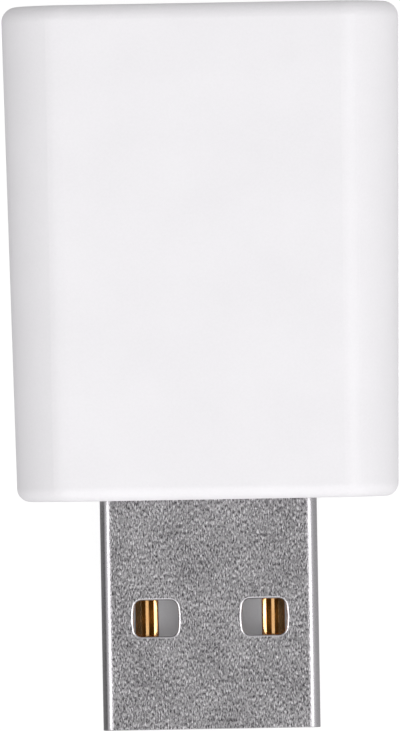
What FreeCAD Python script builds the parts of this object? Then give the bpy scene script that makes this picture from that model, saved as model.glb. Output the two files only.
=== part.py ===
"""A plug-in radio repeater: two drafted case shells, a folded USB plug and the board between them.

The part lies on its flat rear face. +Z points out of the front face, +Y towards the wide far end and -Y
along the plug. The origin is the middle of the whole object's footprint, on the surface it rests on.
"""

import FreeCAD, Part
import math
import os
from types import SimpleNamespace

import Sketcher

# Driving dimensions, in millimetres
DIMENSIONS = {
    # Case, outside
    "case_length": 27.4,
    "case_thickness": 9.5,
    "far_width": 22.0,
    "plug_end_width": 21.1,
    "far_crease_inset": 2.85,
    "plug_end_crease_inset": 2.5,
    "crease_radius": 1.5,
    "far_end_round": 0.85,
    "plug_end_round": 0.75,
    # Case, walls and joints
    "wall": 1.2,
    "end_wall": 1.2,
    "lip_height": 0.6,
    "lip_gap": 0.05,
    "parting_bevel": 0.12,
    "opening_gap": 0.1,
    "glow_diameter": 3.0,
    "glow_wall": 0.5,
    "pinhole_diameter": 1.2,
    "pinhole_bevel": 0.2,
    "post_diameter": 2.0,
    "post_inset": 1.4,
    "locating_pin_diameter": 1.0,
    "locating_pin_rise": 0.5,
    "press_gap": 0.05,
    "saddle_width": 10.0,
    "saddle_thickness": 0.8,
    "saddle_setback": 0.9,
    # Plug shell
    "plug_width": 12.0,
    "plug_height": 4.5,
    "plug_reach": 12.7,
    "plug_inside": 5.4,
    "sheet": 0.3,
    "plug_corner": 0.6,
    "tip_round": 0.04,
    "window_width": 2.5,
    "window_length": 2.0,
    "window_corner": 0.42,
    "window_side_radius": 4.0,
    "window_spacing": 6.0,
    "window_setback": 5.16,
    "window_rollover": 0.12,
    "seam_gap": 0.06,
    "dovetail_reach": 1.4,
    "dovetail_length": 1.8,
    "dovetail_flare": 0.25,
    "front_dovetail_setback": 2.6,
    "rear_dovetail_setback": 9.8,
    "ear_reach": 1.8,
    "ear_length": 2.2,
    "ear_setback": 0.6,
    "latch_width": 2.0,
    "latch_length": 1.2,
    "latch_setback": 2.2,
    # Plug insulator
    "insulator_gap": 0.02,
    "tongue_setback": 0.5,
    "tongue_drop": 0.05,
    "tongue_bevel": 0.4,
    "socket_depth": 11.85,
    "block_setback": 0.3,
    # Contacts
    "contact_width": 1.25,
    "contact_thickness": 0.3,
    "contact_crown": 0.22,
    "contact_gap": 0.02,
    "outer_contact_pitch": 7.0,
    "inner_contact_pitch": 2.0,
    "outer_contact_setback": 1.6,
    "inner_contact_setback": 2.6,
    "contact_dip": 0.45,
    "contact_ramp": 0.9,
    "tail_width": 0.8,
    "tail_length": 2.7,
    "solder_rise": 0.24,
    "solder_run": 0.45,
    # Board
    "board_thickness": 1.0,
    "board_side_gap": 0.45,
    "board_end_gap": 0.3,
    "board_corner": 0.5,
    "notch_gap": 0.1,
    "pin_hole_gap": 0.1,
    # Aerial
    "aerial_strip": 0.5,
    "aerial_pitch": 1.1,
    "aerial_height": 3.6,
    "aerial_gap": 0.4,
    "aerial_end_gap": 1.15,
    "aerial_thickness": 0.07,
    # Shield can and what it covers
    "can_width": 9.0,
    "can_length": 8.0,
    "can_height": 1.6,
    "can_sheet": 0.2,
    "can_corner": 0.4,
    "can_setback": 10.85,
    "chip_width": 5.0,
    "chip_height": 0.85,
    "dimple_diameter": 0.8,
    "dimple_depth": 0.08,
    "crystal_width": 2.5,
    "crystal_length": 3.2,
    "crystal_height": 0.7,
    "crystal_base": 0.5,
    # Supply row
    "supply_setback": 4.95,
    "regulator_width": 4.5,
    "regulator_length": 2.5,
    "regulator_height": 1.5,
    "regulator_draft": 0.15,
    "lead_width": 0.45,
    "lead_pitch": 1.5,
    "lead_reach": 0.8,
    "lead_thickness": 0.4,
    "capacitor_width": 1.25,
    "capacitor_length": 2.0,
    "small_width": 0.5,
    "small_length": 1.0,
    "small_resistor_height": 0.35,
    "end_cap_share": 0.2,
    "end_cap_step_share": 0.04,
    "supply_pitch": 3.1,
    "supply_edge_gap": 2.075,
    "light_width": 0.8,
    "light_length": 1.6,
    "light_height": 0.6,
    "lens_width": 0.72,
    "lens_length": 1.1,
    "light_resistor_height": 0.45,
    # Reset switch
    "switch_width": 3.6,
    "switch_length": 3.0,
    "switch_height": 1.3,
    "switch_floor": 0.55,
    "well_diameter": 2.6,
    "cover_thickness": 0.15,
    "plunger_diameter": 1.0,
    "plunger_flange": 1.8,
    "plunger_flange_thickness": 0.3,
    "plunger_rise": 0.55,
    "plunger_round": 0.16,
    "plunger_gap": 0.1,
    "dome_diameter": 2.4,
    "dome_rise": 0.35,
    "dome_sheet": 0.08,
    "dome_gap": 0.02,
    "terminal_width": 0.6,
    "terminal_reach": 0.5,
    "terminal_thickness": 0.15,
}


class Size:
    """A dimension: its value now, and the sheet formula that keeps features in step with it."""

    def __init__(self, value, formula):
        self.value = value
        self.formula = formula

    @staticmethod
    def of(number):
        """Takes a Size as it is and makes one of a plain number."""
        return number if isinstance(number, Size) else Size(float(number), repr(float(number)))

    def joined(self, other, value, sign):
        """A size whose formula has an operator between this one's and another's."""
        return Size(value, f"({self.formula} {sign} {other.formula})")

    def __add__(self, other):
        other = Size.of(other)
        return self.joined(other, self.value + other.value, "+")

    def __radd__(self, other):
        return Size.of(other) + self

    def __sub__(self, other):
        other = Size.of(other)
        return self.joined(other, self.value - other.value, "-")

    def __rsub__(self, other):
        return Size.of(other) - self

    def __mul__(self, other):
        other = Size.of(other)
        return self.joined(other, self.value * other.value, "*")

    def __rmul__(self, other):
        return Size.of(other) * self

    def __truediv__(self, other):
        other = Size.of(other)
        return self.joined(other, self.value / other.value, "/")

    def __neg__(self):
        return 0 - self


def root(size):
    """Square root of a size."""
    return Size(math.sqrt(size.value), f"sqrt({size.formula})")


doc = FreeCAD.newDocument("repeater")
sheet = doc.addObject("Spreadsheet::Sheet", "dims")
for row, (alias, number) in enumerate(DIMENSIONS.items(), start=1):
    sheet.set(f"A{row}", alias)
    sheet.set(f"B{row}", str(number))
    sheet.setAlias(f"B{row}", alias)
doc.recompute()

d = SimpleNamespace(**{alias: Size(number, f"dims.{alias}") for alias, number in DIMENSIONS.items()})
ZERO = Size.of(0)

# Levels and stations that several pieces share
half_thickness = d.case_thickness / 2
mid_z = half_thickness
tip_y = -(d.case_length + d.plug_reach) / 2
case_start = tip_y + d.plug_reach
case_end = case_start + d.case_length
cavity_start = case_start + d.end_wall
cavity_end = case_end - d.end_wall
plug_bottom = mid_z - d.plug_height / 2
plug_top = mid_z + d.plug_height / 2
plug_rear = case_start + d.plug_inside
contact_level = mid_z
board_top = contact_level - d.contact_thickness
board_under = board_top - d.board_thickness
board_half = d.plug_end_width / 2 - d.wall - d.board_side_gap
board_start = cavity_start + d.board_end_gap
board_end = cavity_end - d.board_end_gap
post_x = board_half - d.post_inset
near_post_y = board_start + d.post_inset
far_post_y = board_end - d.post_inset

# The board's pieces keep their order and share out the room behind the plug
aerial_reach = d.aerial_strip + d.aerial_height + d.aerial_end_gap
length_needed = d.can_setback + d.can_length / 2 + d.aerial_gap + aerial_reach
stretch = (board_end - plug_rear) / length_needed
can_length = d.can_length * stretch
aerial_height = d.aerial_height * stretch
supply_y = plug_rear + d.supply_setback * stretch
can_y = plug_rear + d.can_setback * stretch
switch_y = can_y
aerial_y = board_end - d.aerial_end_gap * stretch - aerial_height - d.aerial_strip / 2
half_width_needed = d.supply_pitch * 2 + d.capacitor_width / 2 + d.supply_edge_gap
supply_pitch = d.supply_pitch * board_half / half_width_needed


# Sketches


def new_body(name):
    """A sub-part whose label names its file."""
    body = doc.addObject("PartDesign::Body", name)
    body.Label = name
    return body


def place(body, x=ZERO, y=ZERO, z=ZERO, face_down=False):
    """Moves a body to a point, turned over about Y when it hangs under the board."""
    if face_down:
        body.Placement = FreeCAD.Placement(FreeCAD.Vector(), FreeCAD.Rotation(FreeCAD.Vector(0, 1, 0), 180))
    for axis, size in (("x", x), ("y", y), ("z", z)):
        body.setExpression(f"Placement.Base.{axis}", Size.of(size).formula)


def sketch_at(body, name, plane, level):
    """A sketch on a plane parallel to one of the body's own, through the given level of the third axis."""
    sketch = body.newObject("Sketcher::SketchObject", name)
    base = next(feature for feature in body.Origin.OriginFeatures if feature.Role == plane)
    sketch.AttachmentSupport = [(base, "")]
    sketch.MapMode = "FlatFace"
    offset = -level if plane == "XZ_Plane" else level
    sketch.setExpression("AttachmentOffset.Base.z", offset.formula)
    return sketch


def arc_through(start, end, radius, clockwise):
    """The short arc of a radius from one point to another, with the turn's sense."""
    chord = end - start
    side = FreeCAD.Vector(chord.y, -chord.x, 0) if clockwise else FreeCAD.Vector(-chord.y, chord.x, 0)
    rise = math.sqrt(max(radius * radius - chord.Length * chord.Length / 4, 0.0))
    centre = (start + end) * 0.5 + side.normalize() * rise
    first, last = (end, start) if clockwise else (start, end)
    angles = [math.atan2(point.y - centre.y, point.x - centre.x) for point in (first, last)]
    return Part.ArcOfCircle(Part.Circle(centre, FreeCAD.Vector(0, 0, 1), radius), *angles)


def outline(sketch, steps):
    """A closed outline. A step is x, y and, where an arc leaves it, the radius and the word for clockwise."""
    corners = [(Size.of(step[0]), Size.of(step[1])) for step in steps]
    points = [FreeCAD.Vector(x.value, y.value, 0) for x, y in corners]
    constraints = []
    bindings = []
    ends = []
    for index, step in enumerate(steps):
        start = points[index]
        end = points[(index + 1) % len(points)]
        clockwise = len(step) > 3
        if len(step) > 2:
            geometry = sketch.addGeometry(arc_through(start, end, step[2].value, clockwise))
            constraints.append(Sketcher.Constraint("Radius", geometry, step[2].value))
            bindings.append(step[2])
        else:
            geometry = sketch.addGeometry(Part.LineSegment(start, end))
        first, last = (2, 1) if clockwise else (1, 2)
        ends.append((geometry, first, last))
        for kind, size in zip(("DistanceX", "DistanceY"), corners[index]):
            constraints.append(Sketcher.Constraint(kind, -1, 1, geometry, first, size.value))
            bindings.append(size)
    added = sketch.addConstraint(constraints)
    for constraint, size in zip(added, bindings):
        sketch.setExpression(f"Constraints[{constraint}]", size.formula)
    joints = zip(ends, ends[1:] + ends[:1])
    sketch.addConstraint([Sketcher.Constraint("Coincident", a[0], a[2], b[0], b[1]) for a, b in joints])


def circle(sketch, x, y, diameter):
    """A circle in a sketch."""
    x, y = Size.of(x), Size.of(y)
    centre = FreeCAD.Vector(x.value, y.value, 0)
    geometry = sketch.addGeometry(Part.Circle(centre, FreeCAD.Vector(0, 0, 1), diameter.value / 2))
    constraints = [
        Sketcher.Constraint("DistanceX", -1, 1, geometry, 3, x.value),
        Sketcher.Constraint("DistanceY", -1, 1, geometry, 3, y.value),
        Sketcher.Constraint("Diameter", geometry, diameter.value),
    ]
    for constraint, size in zip(sketch.addConstraint(constraints), (x, y, diameter)):
        sketch.setExpression(f"Constraints[{constraint}]", size.formula)


def rectangle(left, right, low, high):
    """Steps of a rectangle."""
    return [(left, low), (right, low), (right, high), (left, high)]


def centred(width, length, x=ZERO, y=ZERO):
    """Steps of a rectangle about a point."""
    return rectangle(x - width / 2, x + width / 2, y - length / 2, y + length / 2)


def rounded(left, right, low, high, radius):
    """Steps of a rectangle with round corners."""
    return [
        (left + radius, low),
        (right - radius, low, radius),
        (right, low + radius),
        (right, high - radius, radius),
        (right - radius, high),
        (left + radius, high, radius),
        (left, high - radius),
        (left, low + radius, radius),
    ]


def barrel(half_width, half_height, side_radius, corner, x=ZERO, y=ZERO):
    """Steps of an outline about a point, flat above and below, with round sides blended into the flats.

    A blend touches the flat above its own centre, and the side on the line through both centres.
    """
    side_centre = half_width - side_radius
    between = side_radius - corner
    blend_rise = half_height - corner
    blend_run = root(between * between - blend_rise * blend_rise)
    flat = side_centre + blend_run
    touch = side_centre + blend_run * side_radius / between
    rise = blend_rise * side_radius / between
    return [
        (x + touch, y - rise, side_radius),
        (x + touch, y + rise, corner),
        (x + flat, y + half_height),
        (x - flat, y + half_height, corner),
        (x - touch, y + rise, side_radius),
        (x - touch, y - rise, corner),
        (x - flat, y - half_height),
        (x + flat, y - half_height, corner),
    ]


# Features


def add(body, name, plane, low, high, *outlines):
    """Pads outlines from one level of the third axis to a higher one."""
    sketch = sketch_at(body, name + "_outline", plane, low)
    for steps in outlines:
        outline(sketch, steps)
    return pad(body, name, sketch, high - low)


def pad(body, name, sketch, depth):
    """Pads a sketch towards the positive side of its plane."""
    feature = body.newObject("PartDesign::Pad", name)
    feature.Profile = sketch
    feature.setExpression("Length", depth.formula)
    feature.Reversed = sketch.AttachmentSupport[0][0].Role == "XZ_Plane"
    return feature


def add_round(body, name, low, high, diameter, x=ZERO, y=ZERO):
    """Pads a circle upwards."""
    sketch = sketch_at(body, name + "_outline", "XY_Plane", low)
    circle(sketch, x, y, diameter)
    return pad(body, name, sketch, high - low)


def cut(body, name, plane, low, high, *outlines):
    """Pockets outlines from one level of the third axis to a higher one."""
    sketch = sketch_at(body, name + "_outline", plane, low)
    for steps in outlines:
        outline(sketch, steps)
    return pocket(body, name, sketch, high - low)


def cut_round(body, name, low, high, diameter, x=ZERO, y=ZERO):
    """Pockets a circle upwards."""
    sketch = sketch_at(body, name + "_outline", "XY_Plane", low)
    circle(sketch, x, y, diameter)
    return pocket(body, name, sketch, high - low)


def pocket(body, name, sketch, depth):
    """Pockets a sketch towards the positive side of its plane, and makes sure that it cut something."""
    doc.recompute()
    before = body.Tip.Shape.Volume
    feature = body.newObject("PartDesign::Pocket", name)
    feature.Profile = sketch
    feature.setExpression("Length", depth.formula)
    feature.Reversed = sketch.AttachmentSupport[0][0].Role != "XZ_Plane"
    doc.recompute()
    if feature.Shape.Volume >= before:
        raise RuntimeError(f"{name} cuts nothing")
    return feature


def dress(body, name, kind, size, wanted):
    """Fillets or chamfers the edges that a test picks by their ends."""
    doc.recompute()
    base = body.Tip
    edges = [f"Edge{number}" for number, edge in enumerate(base.Shape.Edges, start=1) if wanted(edge)]
    if not edges:
        raise RuntimeError(f"{name} finds no edge")
    feature = body.newObject(f"PartDesign::{kind}", name)
    feature.Base = (base, edges)
    feature.setExpression("Radius" if kind == "Fillet" else "Size", size.formula)
    return feature


def all_at(edge, axis, size):
    """Whether both ends of an edge lie at a level of an axis."""
    return all(math.isclose(getattr(v.Point, axis), size.value, abs_tol=1e-4) for v in edge.Vertexes)


def middle(edge):
    """The middle of an edge."""
    return edge.valueAt((edge.FirstParameter + edge.LastParameter) / 2)


def goes_round(edge, x, y, diameter):
    """Whether an edge's middle lies on the upright cylinder of a round hole."""
    point = middle(edge)
    reach = math.hypot(point.x - x.value, point.y - y.value)
    return math.isclose(reach, diameter.value / 2, abs_tol=1e-3)


def runs_along(edge, axis):
    """Whether an edge is straight and parallel to an axis."""
    first, last = edge.Vertexes[0].Point, edge.Vertexes[-1].Point
    others = [other for other in "xyz" if other != axis]
    return abs(getattr(first - last, axis)) > 1e-6 and all(
        math.isclose(getattr(first, other), getattr(last, other), abs_tol=1e-6) for other in others
    )


# Case shells


def half_width_at(y):
    """Half the case's width at a station, between its two end widths."""
    return d.plug_end_width / 2 + (d.far_width - d.plug_end_width) / 2 * (y - case_start) / d.case_length


def half_face_at(y):
    """Half the flat face's width at a station."""
    inset_growth = d.far_crease_inset - d.plug_end_crease_inset
    return half_width_at(y) - d.plug_end_crease_inset - inset_growth * (y - case_start) / d.case_length


def side_radius(y):
    """Radius of the side that leaves the parting line upright and ends on the face's crease."""
    across = half_width_at(y) - half_face_at(y)
    return (across * across + half_thickness * half_thickness) / (2 * across)


def case_section(sketch, y, inset=ZERO):
    """The case's section at a station, drawn in evenly by an inset."""
    radii = (side_radius(y) - inset, d.crease_radius - inset)
    outline(sketch, barrel(half_width_at(y) - inset, half_thickness - inset, *radii, ZERO, mid_z))


def loft(body, name, kind, stations, inset=ZERO):
    """A straight-sided loft from the case's section at one station to that at another, added or taken away.

    It starts at the far end, because the sections face the plug and the loft has to leave them forwards.
    """
    sections = []
    for word, y in zip(("far_end", "plug_end"), stations):
        section = sketch_at(body, f"{name}_{word}", "XZ_Plane", y)
        case_section(section, y, inset)
        sections.append(section)
    feature = body.newObject(f"PartDesign::{kind}Loft", name)
    feature.Profile = sections[0]
    feature.Sections = sections[1:]
    feature.Ruled = True
    return feature


def plan_outline(inset, end_inset):
    """The case's plan at the parting line, drawn in from the sides and the ends."""
    near, far = case_start + end_inset, case_end - end_inset
    near_x, far_x = half_width_at(near) - inset, half_width_at(far) - inset
    return [(-near_x, near), (near_x, near), (far_x, far), (-far_x, far)]


def case_shell(name, side):
    """The hollow half of the case on one side of the parting line, with its ends rounded outside."""
    shell = new_body(name)
    loft(shell, "outside", "Additive", (case_end, case_start))
    for end, level, radius in (
        ("far", case_end, d.far_end_round),
        ("plug", case_start, d.plug_end_round),
    ):
        dress(shell, f"{end}_end_round", "Fillet", radius, lambda edge: all_at(edge, "y", level))
    loft(shell, "cavity", "Subtractive", (cavity_end, cavity_start), d.wall)
    clear = d.far_width
    other_half = rectangle(-clear, clear, case_start - clear, case_end + clear)
    low, high = (-d.wall, mid_z) if side > 0 else (mid_z, d.case_thickness + d.wall)
    cut(shell, "parting", "XY_Plane", low, high, other_half)
    dress(shell, "parting_bevel", "Chamfer", d.parting_bevel, round_outer_rim)
    return shell


def round_outer_rim(edge):
    """Whether an edge runs round the parting line on the case's outside."""
    point = middle(edge)
    beside = abs(point.x) > (half_width_at(point.y) - d.wall / 2).value
    low, high = case_start + d.end_wall / 2, case_end - d.end_wall / 2
    return all_at(edge, "z", mid_z) and (beside or not low.value < point.y < high.value)


def plug_opening(shell):
    """The hole in the end wall that the plug passes through."""
    half = d.plug_width / 2 + d.opening_gap
    low, high = plug_bottom - d.opening_gap, plug_top + d.opening_gap
    steps = rounded(-half, half, low, high, d.plug_corner + d.opening_gap)
    cut(shell, "plug_opening", "XZ_Plane", case_start, cavity_start, steps)


def build_rear_shell():
    """Rear shell: tongue round the parting line, board posts, plug saddle and reset pinhole."""
    shell = case_shell("rear_shell", -1)
    inner = d.wall / 2 + d.lip_gap / 2
    tongue = plan_outline(inner, d.end_wall / 2 + d.lip_gap / 2)
    add(shell, "tongue", "XY_Plane", mid_z, mid_z + d.lip_height, tongue, plan_outline(d.wall, d.end_wall))
    plug_opening(shell)
    buried = d.wall / 2
    for word, y in (("near", near_post_y), ("far", far_post_y)):
        for hand, x in (("left", -post_x), ("right", post_x)):
            add_round(shell, f"{word}_{hand}_post", buried, board_under, d.post_diameter, x, y)
            if word == "far":
                top = board_top + d.locating_pin_rise
                add_round(shell, f"{hand}_pin", board_under, top, d.locating_pin_diameter, x, y)
    saddle = cavity_start + d.saddle_setback
    steps = rectangle(-d.saddle_width / 2, d.saddle_width / 2, saddle, saddle + d.saddle_thickness)
    add(shell, "plug_saddle", "XY_Plane", buried, plug_bottom - d.press_gap, steps)
    cut_round(shell, "reset_pinhole", -d.wall, d.wall * 2, d.pinhole_diameter, ZERO, switch_y)
    dress(
        shell,
        "pinhole_bevel",
        "Chamfer",
        d.pinhole_bevel,
        lambda edge: all_at(edge, "z", ZERO) and goes_round(edge, ZERO, switch_y, d.pinhole_diameter),
    )
    return shell


def build_front_shell():
    """Front shell: rebate for the tongue, hold-down posts, plug saddle and the thin place over the light."""
    shell = case_shell("front_shell", 1)
    inner = d.wall / 2 - d.lip_gap / 2
    rebate = plan_outline(inner, d.end_wall / 2 - d.lip_gap / 2)
    cut(shell, "rebate", "XY_Plane", mid_z, mid_z + d.lip_height + d.lip_gap, rebate)
    plug_opening(shell)
    buried = d.case_thickness - d.wall / 2
    ceiling = d.case_thickness - d.wall
    for hand, x in (("left", -post_x), ("right", post_x)):
        near_level = board_top + d.sheet + d.press_gap
        add_round(shell, f"near_{hand}_post", near_level, buried, d.post_diameter, x, near_post_y)
        far_level = board_top + d.press_gap
        add_round(shell, f"far_{hand}_post", far_level, buried, d.post_diameter, x, far_post_y)
        socket = d.locating_pin_diameter + d.pin_hole_gap * 2
        socket_top = board_top + d.locating_pin_rise + d.pin_hole_gap
        cut_round(shell, f"{hand}_pin_socket", far_level, socket_top, socket, x, far_post_y)
    saddle = cavity_start + d.saddle_setback
    steps = rectangle(-d.saddle_width / 2, d.saddle_width / 2, saddle, saddle + d.saddle_thickness)
    add(shell, "plug_saddle", "XY_Plane", plug_top + d.press_gap, buried, steps)
    thin = d.case_thickness - d.glow_wall
    cut_round(shell, "light_recess", ceiling - d.glow_wall, thin, d.glow_diameter, ZERO, supply_y)
    return shell


# Plug


def window_steps(x):
    """A window in the plug shell, with sides that bow out a little."""
    middle_y = tip_y + d.window_setback + d.window_length / 2
    half_x, half_y = d.window_width / 2, d.window_length / 2
    return barrel(half_x, half_y, d.window_side_radius, d.window_corner, x, middle_y)


def seam_steps():
    """The butt seam along the underside, a narrow gap that dovetails aside at two places.

    Each point of its middle line is x, y and the way that the gap's left side shifts along y there.
    """
    line = [(ZERO, tip_y - d.sheet, 0)]
    half_tab = d.dovetail_length / 2
    for setback in (d.front_dovetail_setback, d.rear_dovetail_setback):
        centre = tip_y + setback
        line += [
            (ZERO, centre - half_tab, 1),
            (d.dovetail_reach, centre - half_tab - d.dovetail_flare, 1),
            (d.dovetail_reach, centre + half_tab + d.dovetail_flare, -1),
            (ZERO, centre + half_tab, -1),
        ]
    line.append((ZERO, plug_rear + d.sheet, 0))
    half_gap = d.seam_gap / 2
    left = [(x - half_gap, y + half_gap * shift) for x, y, shift in line]
    right = [(x + half_gap, y - half_gap * shift) for x, y, shift in line]
    return left[::-1] + right


def build_plug_shell():
    """Plug shell: one strip of sheet folded to a box, pierced, seamed underneath, with two ears folded out."""
    shell = new_body("plug_shell")
    half = d.plug_width / 2
    outer = rounded(-half, half, plug_bottom, plug_top, d.plug_corner)
    inside = half - d.sheet
    inner_corner = d.plug_corner - d.sheet
    inner = rounded(-inside, inside, plug_bottom + d.sheet, plug_top - d.sheet, inner_corner)
    add(shell, "folded_box", "XZ_Plane", tip_y, plug_rear, outer, inner)
    dress(
        shell,
        "tip_round",
        "Fillet",
        d.tip_round,
        lambda edge: all_at(edge, "y", tip_y) and on_folded_outside(middle(edge)),
    )
    windows = [window_steps(x) for x in (-d.window_spacing / 2, d.window_spacing / 2)]
    cut(shell, "windows", "XY_Plane", plug_bottom - d.sheet, plug_top + d.sheet, *windows)
    window_middle = tip_y + d.window_setback + d.window_length / 2
    reach = (d.window_length / 2).value + 1e-3

    def round_a_window(edge):
        """Whether an edge lies round a window, on the shell's outside."""
        level = all_at(edge, "z", plug_top) or all_at(edge, "z", plug_bottom)
        return level and all(abs(v.Y - window_middle.value) < reach for v in edge.Vertexes)

    dress(shell, "window_rollover", "Fillet", d.window_rollover, round_a_window)
    latch_y = plug_rear - d.latch_setback
    latch = centred(d.latch_width, d.latch_length, ZERO, latch_y)
    cut(shell, "latch_hole", "XY_Plane", plug_top - d.sheet * 2, plug_top + d.sheet, latch)
    cut(shell, "seam", "XY_Plane", plug_bottom - d.sheet, plug_bottom + d.sheet * 2, seam_steps())
    ear_end = plug_rear - d.ear_setback
    ear_start = ear_end - d.ear_length
    ear_top = board_top + d.sheet
    flap_top = ear_top + d.ear_reach
    for hand, sign in (("left", -1), ("right", 1)):
        low, high = sorted((sign * (inside - d.sheet), sign * (half + d.sheet)), key=lambda size: size.value)
        flap = rectangle(ear_start, ear_end, ear_top, flap_top)
        cut(shell, f"{hand}_ear_opening", "YZ_Plane", low, high, flap)
        low, high = sorted((sign * inside, sign * (half + d.ear_reach)), key=lambda size: size.value)
        ear = rectangle(ear_start, ear_end, board_top, ear_top)
        add(shell, f"{hand}_ear", "YZ_Plane", low, high, ear)
    return shell


def on_folded_outside(point):
    """Whether a point lies on the outer outline of the folded box."""
    across = abs(point.x) - (d.plug_width / 2 - d.plug_corner).value
    upright = abs(point.z - mid_z.value) - (d.plug_height / 2 - d.plug_corner).value
    reach = math.hypot(max(across, 0), max(upright, 0))
    return math.isclose(reach, d.plug_corner.value, abs_tol=1e-3)


def contact_places():
    """The four contacts: name, place across the plug and setback of the front end."""
    outer, inner = d.outer_contact_pitch / 2, d.inner_contact_pitch / 2
    return (
        ("contact_power", -outer, d.outer_contact_setback),
        ("contact_data_minus", -inner, d.inner_contact_setback),
        ("contact_data_plus", inner, d.inner_contact_setback),
        ("contact_ground", outer, d.outer_contact_setback),
    )


def build_plug_insulator():
    """Plug insulator: a block that fills the shell behind the socket's room, and a tongue with four grooves."""
    insulator = new_body("plug_insulator")
    half = d.plug_width / 2 - d.sheet - d.insulator_gap
    low = plug_bottom + d.sheet + d.insulator_gap
    high = plug_top - d.sheet - d.insulator_gap
    block_start = tip_y + d.socket_depth
    block_end = plug_rear - d.block_setback
    corner = d.plug_corner - d.sheet
    add(insulator, "block", "XZ_Plane", block_start, block_end, rounded(-half, half, low, high, corner))
    tongue_start = tip_y + d.tongue_setback
    tongue_top = contact_level - d.tongue_drop
    bevel = d.tongue_bevel
    side = [
        (tongue_start, low + bevel),
        (tongue_start + bevel, low),
        (block_end, low),
        (block_end, tongue_top),
        (tongue_start + bevel, tongue_top),
        (tongue_start, tongue_top - bevel),
    ]
    inset = half - corner
    add(insulator, "tongue", "YZ_Plane", -inset, inset, side)
    lug_y = plug_rear - d.latch_setback
    lug = centred(d.latch_width - d.sheet, d.latch_length - d.sheet, ZERO, lug_y)
    add(insulator, "lug", "XY_Plane", high - d.sheet, high + d.sheet, lug)
    groove = d.contact_width + d.contact_gap * 2
    for name, x, setback in contact_places():
        start = tip_y + setback
        slot = rectangle(x - groove / 2, x + groove / 2, start - d.contact_gap, block_end + d.sheet)
        floor = contact_level - d.contact_thickness
        cut(insulator, f"{name}_slot", "XY_Plane", floor, contact_level + d.contact_gap, slot)
        ramp_end = start + d.contact_ramp
        dip = floor - d.contact_dip - d.contact_gap
        wedge = [(start - d.contact_gap, dip), (ramp_end, floor), (start - d.contact_gap, tongue_top)]
        cut(insulator, f"{name}_dip", "YZ_Plane", x - groove / 2, x + groove / 2, wedge)
    return insulator


def build_contact(name, x, setback):
    """A contact: a strip with its front end dipped into the tongue, a crowned top and a narrower tail."""
    contact = new_body(name)
    start = tip_y + setback
    block_end = plug_rear - d.block_setback
    floor = contact_level - d.contact_thickness
    half = d.contact_width / 2
    side = [
        (start, floor - d.contact_dip),
        (start + d.contact_ramp, floor),
        (block_end, floor),
        (block_end, contact_level),
        (start + d.contact_ramp, contact_level),
        (start, contact_level - d.contact_dip),
    ]
    add(contact, "strip", "YZ_Plane", -half, half, side)

    def top_corner(edge):
        """Whether an edge runs along a side of the strip's upper face, on its flat or its ramp."""
        for point in (edge.Vertexes[0].Point, edge.Vertexes[-1].Point):
            share = max(0, 1 - (point.y - start.value) / d.contact_ramp.value)
            level = contact_level.value - d.contact_dip.value * share
            if not math.isclose(point.z, level, abs_tol=1e-6):
                return False
        return not all_at(edge, "y", start) and math.isclose(abs(middle(edge).x), half.value)

    dress(contact, "crown", "Fillet", d.contact_crown, top_corner)
    tail = centred(d.tail_width, d.tail_length, ZERO, block_end + d.tail_length / 2)
    add(contact, "tail", "XY_Plane", floor, contact_level, tail)
    place(contact, x)
    return contact


def build_plug_solder():
    """Solder: a wedge at the end of each contact tail, and one along each ear."""
    solder = new_body("plug_solder")
    tail_end = plug_rear - d.block_setback + d.tail_length
    rise, run = d.solder_rise, d.solder_run
    for name, x, _setback in contact_places():
        side = [(tail_end, board_top), (tail_end + run, board_top), (tail_end, board_top + rise)]
        add(solder, f"{name}_wedge", "YZ_Plane", x - d.tail_width / 2, x + d.tail_width / 2, side)
    edge = d.plug_width / 2 + d.ear_reach
    ear_end = plug_rear - d.ear_setback
    for hand, sign in (("left", -1), ("right", 1)):
        side = [(sign * edge, board_top), (sign * (edge + run), board_top), (sign * edge, board_top + rise)]
        add(solder, f"{hand}_ear_wedge", "XZ_Plane", ear_end - d.ear_length, ear_end, side)
    return solder


# Board and what it carries


def build_circuit_board():
    """Circuit board: a rectangle with a notch round the plug shell and two holes for the locating pins."""
    board = new_body("circuit_board")
    notch = d.plug_width / 2 + d.notch_gap
    notch_end = plug_rear + d.notch_gap
    steps = [
        (-board_half, board_start),
        (-notch, board_start),
        (-notch, notch_end),
        (notch, notch_end),
        (notch, board_start),
        (board_half, board_start),
        (board_half, board_end),
        (-board_half, board_end),
    ]
    add(board, "panel", "XY_Plane", board_under, board_top, steps)
    dress(
        board,
        "outer_corners",
        "Fillet",
        d.board_corner,
        lambda edge: runs_along(edge, "z") and math.isclose(abs(middle(edge).x), board_half.value),
    )
    hole = d.locating_pin_diameter + d.pin_hole_gap * 2
    for hand, x in (("left", -post_x), ("right", post_x)):
        below, above = board_under - d.sheet, board_top + d.sheet
        cut_round(board, f"{hand}_pin_hole", below, above, hole, x, far_post_y)
    return board


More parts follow.
